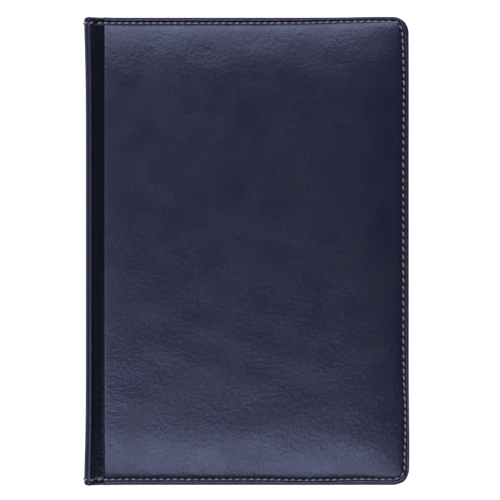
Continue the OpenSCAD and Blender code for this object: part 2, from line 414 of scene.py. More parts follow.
page_finish = fibre_material("ruled_page", PAPER, PAPER_PALE, 0.0004, 0.00002, attribute="flat_place")
tree = page_finish.node_tree
split = node(tree, "ShaderNodeSeparateXYZ", Vector=place_of(page_finish, "flat_place"))
page_x, page_y = split.outputs[0], split.outputs[1]
from_head = math_node(tree, "SUBTRACT", form_high, page_y)
row_phase = math_node(tree, "MODULO", math_node(tree, "ADD", from_head, line_w / 2), row_pitch)
marks = math_node(tree, "LESS_THAN", row_phase, line_w)
for share in column_shares:
    at_column = line_mask(tree, page_x, form_left + share * (form_right - form_left))
    marks = math_node(tree, "MAXIMUM", marks, at_column)
on_form = math_node(tree, "MULTIPLY", inside_mask(tree, page_x, form_left, form_right),
                    inside_mask(tree, page_y, form_low, form_high))
band = math_node(tree, "MULTIPLY", math_node(tree, "LESS_THAN", from_head, 2 * row_pitch), 0.16)
printed = math_node(tree, "MULTIPLY", on_form,
                    math_node(tree, "MAXIMUM", math_node(tree, "MULTIPLY", marks, 0.62), band))
paper_colour = tree.nodes["Principled BSDF"].inputs["Base Color"].links[0].from_socket
feed(page_finish, "Base Color", mix_colour(tree, printed, paper_colour, INK))
print("columns", len(column_shares) - 1, "rows", int((form_high - form_low) / row_pitch))


# %% [markdown]
# The floor is a wide pale plane under the book: a light table, which glows a little and so keeps
# the surround white. It is marked as stage, so it isn't a piece.

# %% Floor
floor_half = 3.0
floor_mesh = bpy.data.meshes.new("floor")
floor_mesh.from_pydata([(-floor_half, -floor_half, 0), (floor_half, -floor_half, 0),
                        (floor_half, floor_half, 0), (-floor_half, floor_half, 0)], [], [(0, 1, 2, 3)])
floor = bpy.data.objects.new("floor", floor_mesh)
scene.collection.objects.link(floor)
floor_finish = new_material("pale_floor", (0.93, 0.93, 0.93), 0.9, Specular_IOR_Level=0.1)
floor_tree = floor_finish.node_tree
floor_grain = use_group(floor_tree, fibre, Place=place_of(floor_finish), Size=0.01)
floor_finish.node_tree.nodes["Principled BSDF"].inputs["Emission Color"].default_value = (1, 1, 1, 1)
floor_finish.node_tree.nodes["Principled BSDF"].inputs["Emission Strength"].default_value = 0.75
feed(floor_finish, "Base Color", mix_colour(floor_tree, floor_grain.outputs["Cloud"],
                                            (0.925, 0.925, 0.925), (0.935, 0.935, 0.935)))
floor_mesh.materials.append(floor_finish)
floor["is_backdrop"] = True
print("floor", 2 * floor_half, "m")


# %% [markdown]
# Every built piece ends the same way: a plain mesh with its material, smooth faces and no live
# modifier. This helper makes it from points and faces, and can store values on the points.

# %% Mesh helpers
def make_piece(name, points, faces, material, smooth=True, **values):
    mesh = bpy.data.meshes.new(name)
    mesh.from_pydata([tuple(p) for p in points], [], faces)
    mesh.materials.append(material)
    for label, array in values.items():
        flat = np.asarray(array, np.float32)
        kind = "FLOAT_VECTOR" if flat.ndim == 2 else "FLOAT"
        made = mesh.attributes.new(label, kind, "POINT")
        made.data.foreach_set("vector" if flat.ndim == 2 else "value", flat.ravel())
    mesh.polygons.foreach_set("use_smooth", [smooth] * len(mesh.polygons))
    piece = bpy.data.objects.new(name, mesh)
    scene.collection.objects.link(piece)
    return piece


def settle(piece):
    """Applies a piece's modifiers, so that only its final mesh stays."""
    bpy.context.view_layer.update()
    graph = bpy.context.evaluated_depsgraph_get()
    final = bpy.data.meshes.new_from_object(piece.evaluated_get(graph), preserve_all_data_layers=True,
                                            depsgraph=graph)
    piece.modifiers.clear()
    piece.data = final
    return piece


def grid_faces(rows, columns, flip=False):
    a = np.arange(rows * columns).reshape(rows, columns)
    quads = np.stack([a[:-1, :-1], a[1:, :-1], a[1:, 1:], a[:-1, 1:]], axis=-1).reshape(-1, 4)
    return (quads[:, ::-1] if flip else quads).tolist()


def closed_slab(tops, lows, rows, columns):
    """Points and faces of a closed form: a grid above, a grid below and a wall round their edge."""
    count = rows * columns
    faces = grid_faces(rows, columns)
    faces += [[i + count for i in face[::-1]] for face in faces]
    ring = list(range(columns)) + [r * columns + columns - 1 for r in range(1, rows)]
    ring += [(rows - 1) * columns + i for i in range(columns - 2, -1, -1)]
    ring += [r * columns for r in range(rows - 2, 0, -1)]
    for a, b in zip(ring, ring[1:] + ring[:1]):
        faces.append([a, b, b + count, a + count])
    return np.concatenate([tops, lows]), faces


print("mesh helpers ready")


# %% [markdown]
# The cover's edge has one profile on all three sides. From the end of the turn-in it runs out under
# the board, up its side, over a narrow rolled rim, down into the sewn valley and up on the pad. Each
# station gives the distance in from the outline, the drop below the rim, and the share of the way
# down to the board's inner face.

# %% Edge profile
rim_z = top - 1.15 * MM
valley_z = board_high.z + 0.26 * MM
rim_roll = 0.85 * MM
stitch_in = 2.6 * MM
UNDER = [(12.5, 1), (9, 1), (6, 1), (4, 1), (2.5, 1), (1.4, 1), (0.6, 1), (0.15, 0.93), (0, 0.75)]
SIDE = [(0, 0.5), (0, 0.25), (0, 0)]
ROLL = [(0.03, 0.73), (0.12, 0.47), (0.3, 0.24), (0.58, 0.07), (0.9, 0)]
VALLEY = [(1.25, 0.03), (1.55, 0.17), (1.85, 0.45), (2.1, 0.75), (2.35, 0.95), (2.6, 1), (2.85, 1)]
PAD_ROLL = [3.05, 3.3, 3.65, 4.1, 4.7, 5.4, 6.2]
pad_start = 7.2

station_run = []
for k, (d, share) in enumerate(UNDER + SIDE):
    run = -0.5 - d if share == 1 else -0.5 + 0.1 * (k - len(UNDER) + 3)
    station_run.append((run, d, 1, 0, share))
station_run += [(d, d, roll, 0, 0) for d, roll in ROLL]
station_run += [(d, d, 0, dip, 0) for d, dip in VALLEY + [(d, 1) for d in PAD_ROLL + [pad_start, 200]]]
RUN, INSET, ROLLED, DIP, SHARE = (np.array(c) * s for c, s in zip(zip(*station_run), (MM, MM, 1, 1, 1)))
print("edge stations", len(RUN))


# %% [markdown]
# The pad is highest in the middle and falls towards its three sewn sides: steeply right beside the
# stitches, where the cloth is pulled down, then slowly over nearly three centimetres. The product
# of the slow falls keeps its corners round. Beside the groove it stays almost level.

# %% Pad form
pad_rise = top - valley_z
groove_z = inner_z + 0.62 * MM
steep_share = 0.2
steep_length = 1.1 * MM
slow_length = 27 * MM
groove_length = 12 * MM


def slow_fall(distance):
    share = np.clip((distance - stitch_in) / slow_length, 0, 1)
    return 1 - (1 - share) ** 2.1


def pad_height(run, inset_x, inset_y, from_groove):
    """Height above the sewn valley."""
    steep = 1 - np.exp(-np.clip(run - stitch_in - 0.1 * MM, 0, None) / steep_length)
    side = np.clip(from_groove / groove_length, 0, 1)
    groove_rise = 0.92 + 0.08 * side * (2 - side)
    slow_part = slow_fall(inset_x) * slow_fall(inset_y) * groove_rise
    return pad_rise * (steep_share * steep + (1 - steep_share) * slow_part)


def ring_place(run_u, run_v):
    """Insets from the fore-edge and from the head or tail of a point whose runs from both are known.
    Near the corner the rings of equal run turn through a rounded corner."""
    zone_end = 20 * MM
    run = np.minimum(run_u, run_v)
    far = np.maximum(run_u, run_v)
    inset = np.interp(run, RUN, INSET)
    radius = np.maximum(corner_r - inset, 0.05 * MM)
    half_arc = radius * math.pi / 4
    path = (far - run) / np.maximum(zone_end - run, MM) * (zone_end - inset - radius + half_arc)
    angle = math.pi / 4 + np.minimum(path / radius, math.pi / 4)
    on_arc = path < half_arc
    near = np.where(on_arc, inset + radius - radius * np.sin(angle), inset)
    along = np.where(on_arc, inset + radius - radius * np.cos(angle), inset + radius + path - half_arc)
    along = np.where(far >= zone_end, np.interp(far, RUN, INSET), along)
    near = np.where(far >= zone_end, inset, near)
    by_head = run_v <= run_u
    return np.where(by_head, along, near), np.where(by_head, near, along), run


print("pad rise", round(pad_rise / MM, 2), "mm")


# %% [markdown]
# The stitches follow the valley along head, fore-edge and tail. On the long fore-edge the machine
# took a slightly longer stitch than round the corners and on the short sides, so the pitch depends
# on the place. The places come first, because the cloth is pinched at every needle hole.

# %% Stitch places
end_pitch = 3.2
side_pitch = 3.53
# Places along the fore-edge, in mm from its middle, and the pitch there in mm
PITCH_AT = ([-58, -44, 58, 84], [end_pitch, side_pitch, side_pitch, end_pitch])
stitch_first_x = pad_x0 + 1.15 * MM
line_x = right - stitch_in
line_y = half_h - stitch_in
print("stitch line in", round(stitch_in / MM, 2), "mm")


# %% [markdown]
# No hand-guided row runs quite parallel to its edge, and no sewn outline is quite straight. Two
# small functions move the points of cloth and thread together.

# %% Wandering row and bowed outline
# Where the row wanders from its even inset: places along the side and shifts outwards, in mm
SIDE_WANDER = ([-93, -83, -74, -64, -55, -45, 46, 65, 75, 84, 93, 102],
               [0.46, 0.85, 0.87, 0.5, 0.19, 0.06, 0, 0.18, 0.32, 0.12, -0.12, -0.49])
HEAD_WANDER = ([8, 27, 36, 45, 54, 64], [0, 0.14, 0.4, 0.55, 0.6, 0.55])
TAIL_WANDER = ([10, 27, 36, 54, 62], [0, 0.35, 0.2, -0.15, 0])


def wandered(x, y, inset_x, inset_y):
    """A sewing row is never quite parallel to the edge; the valley moves with it."""
    by_side = np.exp(-(((inset_x - stitch_in) / (1.7 * MM)) ** 2)) * np.interp(y / MM, *SIDE_WANDER)
    head = np.interp(x / MM, *HEAD_WANDER)
    tail = np.interp(x / MM, *TAIL_WANDER)
    by_end = np.exp(-(((inset_y - stitch_in) / (1.7 * MM)) ** 2)) * np.where(y > 0, head, tail)
    return x + by_side * MM, y + np.sign(y) * by_end * MM


def bowed(x, y, inset_x, inset_y):
    """The outline of a sewn cover isn't quite straight: it stands out at the spine and at two corners."""
    inset = np.minimum(inset_x, inset_y)
    x, y = wandered(x, y, inset_x, inset_y)
    edge = np.clip(1 - inset / (15 * MM), 0, 1)
    out_y = 0.3 * np.exp(-(((x - left - 4 * MM) / (6 * MM)) ** 2))
    corner = np.clip((x - 38 * MM) / (24 * MM), 0, 1)
    out_y = out_y + 0.33 * corner * corner * (3 - 2 * corner) * (y > 0)
    out_x = 0.22 * np.exp(-(((y + 92 * MM) / (13 * MM)) ** 2)) * (x > 0)
    return x + out_x * edge * MM, y + np.sign(y) * out_y * edge * MM


print("widest wander", max(SIDE_WANDER[1]), "mm")


# %% [markdown]
# With the row's shape known, the places of its stitches and of the holes between them follow.

# %% Stitches along one cover
def stitch_line():
    """Places and directions of stitches and needle holes along the valley, from head to tail."""
    path = [(stitch_first_x, line_y), (stitch_first_x + 30 * MM, line_y)]
    r = corner_r - stitch_in
    for sign in (1, -1):
        arc = [(line_x - r + r * math.sin(a), sign * (line_y - r + r * math.cos(a)))
               for a in np.linspace(0, math.pi / 2, 13)]
        path += arc if sign > 0 else arc[::-1]
    path += [(stitch_first_x + 30 * MM, -line_y), (stitch_first_x, -line_y)]
    path = np.array(path)
    lengths = np.concatenate([[0], np.cumsum(np.linalg.norm(np.diff(path, axis=0), axis=1))])
    # The stitch number grows along the row by one over the pitch
    fine = np.linspace(0, lengths[-1], 4001)
    fine_x, fine_y = np.interp(fine, lengths, path[:, 0]), np.interp(fine, lengths, path[:, 1])
    pitch = np.where(fine_x > line_x - 0.1 * MM, np.interp(fine_y / MM, *PITCH_AT), end_pitch) * MM
    number = np.concatenate([[0], np.cumsum(np.diff(fine) / pitch[1:])])
    count = round(number[-1])
    at = np.interp(np.linspace(0, number[-1], 2 * count + 1), number, fine)
    xs, ys = np.interp(at, lengths, path[:, 0]), np.interp(at, lengths, path[:, 1])
    ways = np.gradient(np.stack([xs, ys], axis=1), axis=0)
    xs, ys = bowed(xs, ys, right - xs, half_h - np.abs(ys))
    return [(Vector((x, y, 0)), Vector((*w, 0)).normalized()) for x, y, w in zip(xs, ys, ways)]


seats_and_holes = stitch_line()
centres = seats_and_holes[::2]
hole_places = [place for place, way in seats_and_holes[1::2]]
holes = KDTree(len(hole_places))
for k, place in enumerate(hole_places):
    holes.insert(place, k)
holes.balance()
print("stitches along one cover", len(centres))


# %% [markdown]
# One sheet of leathercloth covers the spine, the shoulder, the groove and the pad. It is a grid:
# its columns follow the cross-section of the book from the middle of the spine to the fore-edge, and
# its rows follow the edge profile at head and tail. Each column knows its outer point, the way into
# the book, its thickness at the edge, and how far it belongs to the pad. The floor of the groove
# falls on towards the foot of the pad, so it mirrors no lamp; its colour is painted dark as well,
# as shade.

# %% Columns of the cover sheet
def shoulder_column(degrees, thick):
    a = math.radians(degrees)
    way = Vector((math.cos(a), math.sin(a)))
    point = Vector((shoulder_x, shoulder_z)) + way * shoulder_r
    return (point.x, point.y, -way.x, -way.y, thick, 0.0, 1.0)


columns = []
spine_thick = 2.35 * MM
fold_thick = 1.1 * MM
for z in np.linspace(mid_z, shoulder_z - 0.4 * MM, 6):
    columns.append((left, z, 1, 0, spine_thick, 0.0, 1.0))
for k in range(29):
    share = k / 28
    columns.append(shoulder_column(180 - 90 * share,
                                   spine_thick + (fold_thick - spine_thick) * min(1, share * 2.2)))
groove_start = pad_x0 - 4.3 * MM
groove_foot = pad_x0 - 0.06 * MM
floor_slope = 0.19
knee_z = groove_z + floor_slope * (groove_foot - groove_start)
shoulder_top = shoulder_z + shoulder_r
fall = groove_start - shoulder_x
for k in range(1, 11):
    s = k / 10
    z = shoulder_top + (knee_z - shoulder_top) * s * s * (3 - 2 * s) - floor_slope * fall * s * s * (s - 1)
    drop = (shoulder_top - knee_z) * 6 * s * (1 - s) + floor_slope * fall * s * (3 * s - 2)
    steep = math.atan2(drop, fall)
    columns.append((shoulder_x + fall * s, z, -math.sin(steep), -math.cos(steep), fold_thick, 0.0, 1 - s))
for x in np.linspace(groove_start, groove_foot, 8)[1:]:
    z = groove_z + floor_slope * (groove_foot - x)
    columns.append((x, z, 0, -1, z - inner_z, 0.0, 0.0))
WALL = [(-0.03, 0.22), (0, 0.4), (0.03, 0.58), (0.08, 0.72), (0.18, 0.84),
        (0.34, 0.92), (0.58, 0.97), (0.9, 0.992)]
for dx, belongs in WALL:
    columns.append((pad_x0 + dx * MM, groove_z, 0, -1, groove_z - inner_z, belongs, 0.0))
free_columns = len(columns)
pad_left = pad_x0 + 1.4 * MM
pad_steps = 111
for x in np.linspace(pad_left, right - pad_start * MM, pad_steps):
    columns.append((x, groove_z, 0, -1, groove_z - inner_z, 1.0, 0.0))
edge_runs = RUN[:-2][::-1]
for run in edge_runs:
    columns.append((0, groove_z, 0, -1, groove_z - inner_z, 1.0, 0.0))
col = np.array(columns)
run_u = np.full(len(columns), 1.0)
run_u[free_columns:free_columns + pad_steps] = right - col[free_columns:free_columns + pad_steps, 0]
run_u[free_columns + pad_steps:] = edge_runs
half_rows = 84
inner_runs = np.linspace(pad_start * MM, half_h, half_rows)
run_v = np.concatenate([RUN[:-2], inner_runs, inner_runs[-2::-1], RUN[:-2][::-1]])
side_v = np.concatenate([np.ones(len(RUN) - 2 + half_rows), -np.ones(len(RUN) - 2 + half_rows - 1)])
print("cover grid", len(run_v), "rows by", len(columns), "columns")

# %% [markdown]
# The spine's ends stand out a little, where the cloth is doubled over the card, and its middle is
# drawn in. The pinches and a faint waviness are added to the height, with a fixed seed.

# %% Cover sheet
spine_out = 0.22 * MM
spine_waist = 0.83 * MM
flare_length = 21 * MM


def soft_waves(x, y, seed, size, count=14):
    """A smooth, repeatable unevenness between about -1 and 1."""
    chance = np.random.default_rng(seed)
    total = np.zeros_like(x)
    for _ in range(count):
        a, phase, k = chance.uniform(0, math.tau), chance.uniform(0, math.tau), chance.uniform(0.6, 1.7)
        total += np.sin((x * math.cos(a) + y * math.sin(a)) * k * math.tau / size + phase)
    return total / math.sqrt(count)


print("spine drawn in", round(spine_waist / MM, 2), "mm")


# %% [markdown]
# The sheet itself: for every row and column the point is its column's outer point, moved into the
# book by the edge profile and out again by the pad. Masks for the material are made beside it.

# %% Points of the cover sheet
wave_height = 0.035 * MM
wave_size = 0.021
pinch_depth = 0.12 * MM
pinch_reach = 1.1 * MM


def cover_sheet():
    rows, cols = len(run_v), len(columns)
    v = np.repeat(run_v[:, None], cols, axis=1)
    u = np.repeat(run_u[None, :], rows, axis=0)
    sign = np.repeat(side_v[:, None], cols, axis=1)
    x0, z0, nx, nz, thick, belongs, ridge = (np.repeat(col[None, :, i], rows, axis=0) for i in range(7))
    inset_x, inset_y, run = ring_place(u, v)
    free = np.zeros_like(v, bool)
    free[:, :free_columns] = True
    run = np.where(free, v, run)
    inset_y = np.where(free, np.interp(v, RUN, INSET), inset_y)
    inset_y = np.minimum(inset_y, half_h)
    inset_x = np.where(free, right - x0, inset_x)
    x = right - inset_x
    y = sign * (half_h - inset_y)
    share = np.interp(run, RUN, SHARE)
    # Away from the pad the edge is a plain roll with a light dip under the stitches
    free_roll = np.minimum(1.3 * MM, 0.72 * thick)
    near_edge = np.where(share > 0, 0, np.clip(inset_y / free_roll, 0, 1))
    free_drop = free_roll * (1 - np.sqrt(1 - (1 - near_edge) ** 2))
    free_drop = free_drop + 0.08 * MM * np.exp(-(((run - stitch_in) / (0.7 * MM)) ** 2))
    pad_drop = np.interp(run, RUN, ROLLED) * rim_roll + np.interp(run, RUN, DIP) * (rim_z - valley_z)
    roll = free_roll * (1 - belongs) + rim_roll * belongs
    raised = belongs * (rim_z - z0)
    height = pad_height(run, inset_x, inset_y, x - pad_x0) * belongs
    into = free_drop * (1 - belongs) + pad_drop * belongs - raised - height
    into = into + share * (thick + raised - roll)
    # Waviness and pinches, only on the outside
    outside = (run > 0) & (share == 0)
    wave = soft_waves(x, y, 5, wave_size) * wave_height * np.clip((run - 4 * MM) / (12 * MM), 0, 1) * belongs
    pinch = np.zeros_like(x)
    near = (np.abs(run - stitch_in) < 4 * MM) & (x > pad_x0 - 2 * MM)
    for j, i in zip(*np.nonzero(near)):
        away = holes.find((x[j, i], y[j, i], 0))[2]
        pinch[j, i] = math.exp(-((away / pinch_reach) ** 2))
    into = into + np.where(outside, pinch * pinch_depth - wave, 0)
    waist = spine_waist * (1 - np.exp(-(((half_h - np.abs(y)) / flare_length) ** 1.5)))
    x, y = bowed(x, y, inset_x, inset_y)
    px = x + nx * into + (waist - spine_out) * ridge
    pz = z0 + nz * into
    # Painted shade: where the colour is darkened, in the stitch valley and in the groove
    valley_and_groove_shade = np.clip((run - 1.1 * MM) / (0.4 * MM), 0, 1) * np.clip((3.3 * MM - run) / (0.5 * MM), 0, 1)
    in_groove = np.clip((x - groove_start + 0.7 * MM) / (0.8 * MM), 0, 1)
    in_groove = in_groove * np.clip((pad_x0 + 1.1 * MM - x) / (1.0 * MM), 0, 1)
    valley_and_groove_shade = np.maximum(valley_and_groove_shade, in_groove) * outside
    # Paler on the rim and on the upward-facing top of the shoulder: partly wear, partly a painted highlight
    rub = np.exp(-(((run - 0.75 * MM) / (0.5 * MM)) ** 2)) * outside
    rub = np.maximum(rub, ridge * np.clip(nz * -1.2, 0, 1) * (x0 < groove_start) * 0.6)
    # The upright edges and the spine's wall are made rougher, and their colour is painted darker as shade
    dull = np.where(free, np.clip(nx, 0, 1) ** 2, 0) * ridge
    dull = np.maximum(dull, np.clip(1 - run / (0.45 * MM), 0, 1))
    points = np.stack([px, y, pz], axis=-1).reshape(-1, 3)
    return points, grid_faces(rows, cols), valley_and_groove_shade.ravel(), rub.ravel(), dull.ravel()


sheet_points, sheet_faces, sheet_valley_shade, sheet_wear_highlight, sheet_dull = cover_sheet()
print("sheet points", len(sheet_points), "faces", len(sheet_faces))


# %% [markdown]
# The back is the mirror image of the front about the middle of the pages. Solidify gives the sheet
# its thickness inwards, and the result is kept as a plain mesh.

# %% Front and back leathercloth
cloth_t = 0.4 * MM


def turned_over(points):
    return points * np.array([1, 1, -1]) + np.array([0, 0, top])


def leather_piece(name, over):
    points = turned_over(sheet_points) if over else sheet_points
    faces = [f[::-1] for f in sheet_faces] if over else sheet_faces
    piece = make_piece(name, points, faces, leathercloth, flat_place=points, valley=sheet_valley_shade,
                       rubbed=sheet_wear_highlight, dull=sheet_dull)
    solid = piece.modifiers.new("thickness", "SOLIDIFY")
    solid.thickness = cloth_t
    solid.offset = -1
    solid.use_even_offset = False
    settle(piece)
    # Cut edges stay crisp, so the two sheets meet on the spine without a shaded line
    piece.data.set_sharp_from_angle(angle=math.radians(60))
    return piece


front_skin = leather_piece("front_leathercloth", False)
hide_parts("front_cover_leather", "spine_leather")
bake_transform(front_skin)
back_skin = leather_piece("back_leathercloth", True)
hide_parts("back_cover_leather")
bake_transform(back_skin)
print("leathercloth triangles", 2 * len(front_skin.data.polygons))

# %% [markdown]
# The foam under the cloth makes the pad. It is a closed, crowned form: the same height field as the
# pad, one cloth thickness lower, on a flat underside that rests on the board.

# %% Foam pads
foam_below = 0.7 * MM
foam_over_board = 0.02 * MM
foam_least = 0.05 * MM
foam_in = stitch_in + 1.6 * MM
foam_round = 5 * MM


def foam_pad(name, over):
    rows, cols = 60, 44
    fx = np.linspace(pad_x0 + 1.2 * MM, right - foam_in, cols)
    fy = np.linspace(half_h - foam_in, foam_in - half_h, rows)
    gx, gy = np.meshgrid(fx, fy)
    # Round the two corners of the foam by drawing points in towards the corner's centre
    dx = gx - (right - foam_in - foam_round)
    dy = np.abs(gy) - (half_h - foam_in - foam_round)
    reach = np.hypot(dx, dy)
    corner = (dx > 0) & (dy > 0)
    pull = np.where(corner, np.maximum(dx, dy) / np.maximum(reach, 1e-9), 1)
    gx = np.where(corner, gx - dx * (1 - pull), gx)
    gy = np.where(corner, gy - np.sign(gy) * dy * (1 - pull), gy)
    inset_x, inset_y = right - gx, half_h - np.abs(gy)
    run = np.minimum(inset_x, inset_y)
    height = pad_height(run, inset_x, inset_y, gx - pad_x0)
    upper = valley_z + height - foam_below
    floor_z = board_high.z + foam_over_board
    upper = np.maximum(upper, floor_z + foam_least)
    tops = np.stack([gx, gy, upper], axis=-1).reshape(-1, 3)
    lows = np.stack([gx, gy, np.full_like(gx, floor_z)], axis=-1).reshape(-1, 3)
    points, faces = closed_slab(tops, lows, rows, cols)
    if over:
        points = turned_over(points)
        faces = [f[::-1] for f in faces]
    piece = make_piece(name, points, faces, foam_finish)
    return piece


for side in ("front", "back"):
    pad = foam_pad(f"{side}_foam", side == "back")
    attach(pad, f"{side}_cover")
    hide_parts(f"{side}_foam_pad")
print("foam pads", 2)


# %% [markdown]
# Stitches, leaves and band wraps repeat, so Geometry Nodes place them. These helpers start a tree
# with named inputs, end it with real copies and a material, and keep its result as a plain mesh.

# %% Geometry Nodes helpers
def nodes_tree(name, inputs):
    made = bpy.data.node_groups.new(name, "GeometryNodeTree")
    made.interface.new_socket("Geometry", in_out="INPUT", socket_type="NodeSocketGeometry")
    for label, kind, value in inputs:
        socket = made.interface.new_socket(label, in_out="INPUT", socket_type=kind)
        if value is not None:
            socket.default_value = value
    made.interface.new_socket("Geometry", in_out="OUTPUT", socket_type="NodeSocketGeometry")
    return made, made.nodes.new("NodeGroupInput"), made.nodes.new("NodeGroupOutput")


def named(made, name, kind="FLOAT_VECTOR"):
    return node(made, "GeometryNodeInputNamedAttribute", data_type=kind, Name=name).outputs["Attribute"]


def store(made, geometry, name, value, kind):
    keep = node(made, "GeometryNodeStoreNamedAttribute", data_type=kind, Geometry=geometry, Name=name,
                Value=value)
    return keep.outputs["Geometry"]


def finish_tree(made, instances, material, out):
    realize = node(made, "GeometryNodeRealizeInstances", Geometry=instances)
    smooth = node(made, "GeometryNodeSetShadeSmooth", Geometry=realize.outputs["Geometry"])
    paint = node(made, "GeometryNodeSetMaterial", Geometry=smooth.outputs["Geometry"], Material=material)
    put(made, paint.outputs["Geometry"], out.inputs["Geometry"])
    return smooth


def stack_of_points(made, given, count, start):
    """Points one above the other, one pitch apart."""
    up = node(made, "ShaderNodeCombineXYZ", Z=given.outputs["Pitch"])
    return node(made, "GeometryNodeMeshLine", Count=given.outputs[count], Offset=up.outputs[0],
                Start_Location=given.outputs[start]).outputs["Mesh"]


def run_tree(piece, made, **values):
    """Adds the tree to a piece, sets its named inputs by identifier, and keeps the plain result."""
    modifier = piece.modifiers.new(made.name, "NODES")
    modifier.node_group = made
    for item in made.interface.items_tree:
        label = item.name.replace(" ", "_")
        if item.item_type == "SOCKET" and item.in_out == "INPUT" and label in values:
            modifier[item.identifier] = values[label]
    return settle(piece)


print("node tree helpers ready")


# %% [markdown]
# A thread is a curve swept with a small circle. It stores the distance along it and the turn around
# it, from which the thread's material draws the plies.

# %% Twisted thread
def twisted_rod(made, curve, radius, along_scale, taper=1.0):
    """Turns a curve into a thread that remembers the distance along it and the turn around it."""
    factor = node(made, "GeometryNodeSplineParameter").outputs["Factor"]
    path = store(made, curve, "along", math_node(made, "MULTIPLY", factor, along_scale), "FLOAT")
    circle = node(made, "GeometryNodeCurvePrimitiveCircle", Resolution=8, Radius=radius)
    turn = node(made, "GeometryNodeSplineParameter").outputs["Factor"]
    profile = store(made, circle.outputs["Curve"], "around", turn, "FLOAT")
    sweep = node(made, "GeometryNodeCurveToMesh", Curve=path, Profile_Curve=profile, Scale=taper,
                 Fill_Caps=True)
    return sweep.outputs["Mesh"]


print("thread helper ready")


# %% [markdown]
# The input of the stitch tree is one point for each stitch, which carries the thread's direction
# and the way out of the cloth. The tree bends a short curve down at both ends, thickens it to a
# thread, and sets one on each point.

# %% Stitch node tree
def stitch_tree():
    made, given, out = nodes_tree("stitches", [
        ("Length", "NodeSocketFloat", 0.0022), ("Thread Radius", "NodeSocketFloat", 0.0004),
        ("Dip", "NodeSocketFloat", 0.0005), ("Slant", "NodeSocketFloat", 0.12),
        ("Material", "NodeSocketMaterial", None)])
    length = given.outputs["Length"]
    half = math_node(made, "MULTIPLY", length, 0.5)
    start, end = (node(made, "ShaderNodeCombineXYZ", X=math_node(made, "MULTIPLY", half, sign))
                  for sign in (-1, 1))
    line = node(made, "GeometryNodeCurvePrimitiveLine", Start=start.outputs[0], End=end.outputs[0])
    fine = node(made, "GeometryNodeResampleCurve", Curve=line.outputs["Curve"], Count=9)
    part = node(made, "GeometryNodeSplineParameter").outputs["Factor"]
    across = math_node(made, "MULTIPLY_ADD", part, 2.0, -1.0)
    fourth = math_node(made, "POWER", math_node(made, "ABSOLUTE", across), 4.0)
    depth = math_node(made, "MULTIPLY", fourth, given.outputs["Dip"])
    sink = node(made, "ShaderNodeCombineXYZ", Z=math_node(made, "MULTIPLY", depth, -1.0))
    move = node(made, "GeometryNodeSetPosition", Geometry=fine.outputs["Curve"], Offset=sink.outputs[0])
    taper = math_node(made, "MULTIPLY_ADD", fourth, -0.45, 1.0)
    rod = twisted_rod(made, move.outputs["Geometry"], given.outputs["Thread Radius"], length, taper)
    axes = node(made, "FunctionNodeAxesToRotation", primary_axis="Z", secondary_axis="X",
                Primary_Axis=named(made, "outward"), Secondary_Axis=named(made, "way"))
    turn = node(made, "FunctionNodeAxisAngleToRotation", Axis=(0, 0, 1), Angle=given.outputs["Slant"])
    slant = node(made, "FunctionNodeRotateRotation", rotation_space="LOCAL",
                 Rotation=axes.outputs["Rotation"], Rotate_By=turn.outputs["Rotation"])
    size = node(made, "ShaderNodeCombineXYZ", X=named(made, "stretch", "FLOAT"), Y=1, Z=1)
    place = node(made, "GeometryNodeInstanceOnPoints", Points=given.outputs["Geometry"], Instance=rod,
                 Rotation=slant.outputs["Rotation"], Scale=size.outputs[0])
    finish_tree(made, place.outputs["Instances"], given.outputs["Material"], out)
    return made


stitch_nodes = stitch_tree()
print("tree", stitch_nodes.name)

# %% [markdown]
# The rows of stitches: round each cover in its valley, two more over the groove and the ridge, and a
# row down each end of the spine. Stitches ride on the body whose cloth they are sewn through.

# %% Stitches
stitch_len = 2.05 * MM
thread_r = 0.37 * MM
lift = 0.3 * MM


def stitch_row(name, seats, body, node_name, slant=0.16):
    """seats are (place, direction, outward) for each stitch."""
    points = [s[0] for s in seats]
    chance = np.random.default_rng(len(seats))
    across = np.array([abs(s[1][0]) for s in seats])
    stretch = (1 - 0.16 * across) * chance.uniform(0.93, 1.07, len(seats))
    piece = make_piece(name, points, [], cover_thread, way=[tuple(s[1]) for s in seats],
                       outward=[tuple(s[2]) for s in seats], stretch=stretch)
    run_tree(piece, stitch_nodes, Length=stitch_len, Thread_Radius=thread_r, Dip=0.9 * MM, Slant=slant,
             Material=cover_thread)
    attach(piece, body)
    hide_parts(node_name)
    return piece


print("stitch length", round(stitch_len / MM, 2), "mm")


# %% [markdown]
# Each row is a list of seats: a place, the direction of the thread and the way out of the cloth.

# %% Seats and rows
def on_cloth(x):
    """Height and outward direction of the cloth between the shoulder's top and the pad."""
    part = col[20:free_columns - len(WALL)]
    z, nx, nz = (float(np.interp(x, part[:, 0], part[:, i])) for i in (1, 2, 3))
    return z, Vector((-nx, 0, -nz)).normalized()


def front_seats():
    up = Vector((0, 0, 1))
    seats = []
    for place, way in centres:
        seats.append((Vector((place.x, place.y, valley_z + lift)), way, up))
    for sign in (1, -1):
        for x in (pad_x0 - 1.75 * MM, shoulder_x + 0.9 * MM):
            z, out = on_cloth(x)
            y = sign * float(bowed(x, line_y, right - x, stitch_in)[1])
            way = Vector((out.z, 0, -out.x)) * sign
            seats.append((Vector((x, y, z)) + out * (lift - 0.1 * MM), way, out))
    return seats


def mirrored(seats):
    flip = Vector((1, 1, -1))
    return [(s[0] * flip + Vector((0, 0, top)), s[1] * flip, s[2] * flip) for s in seats]


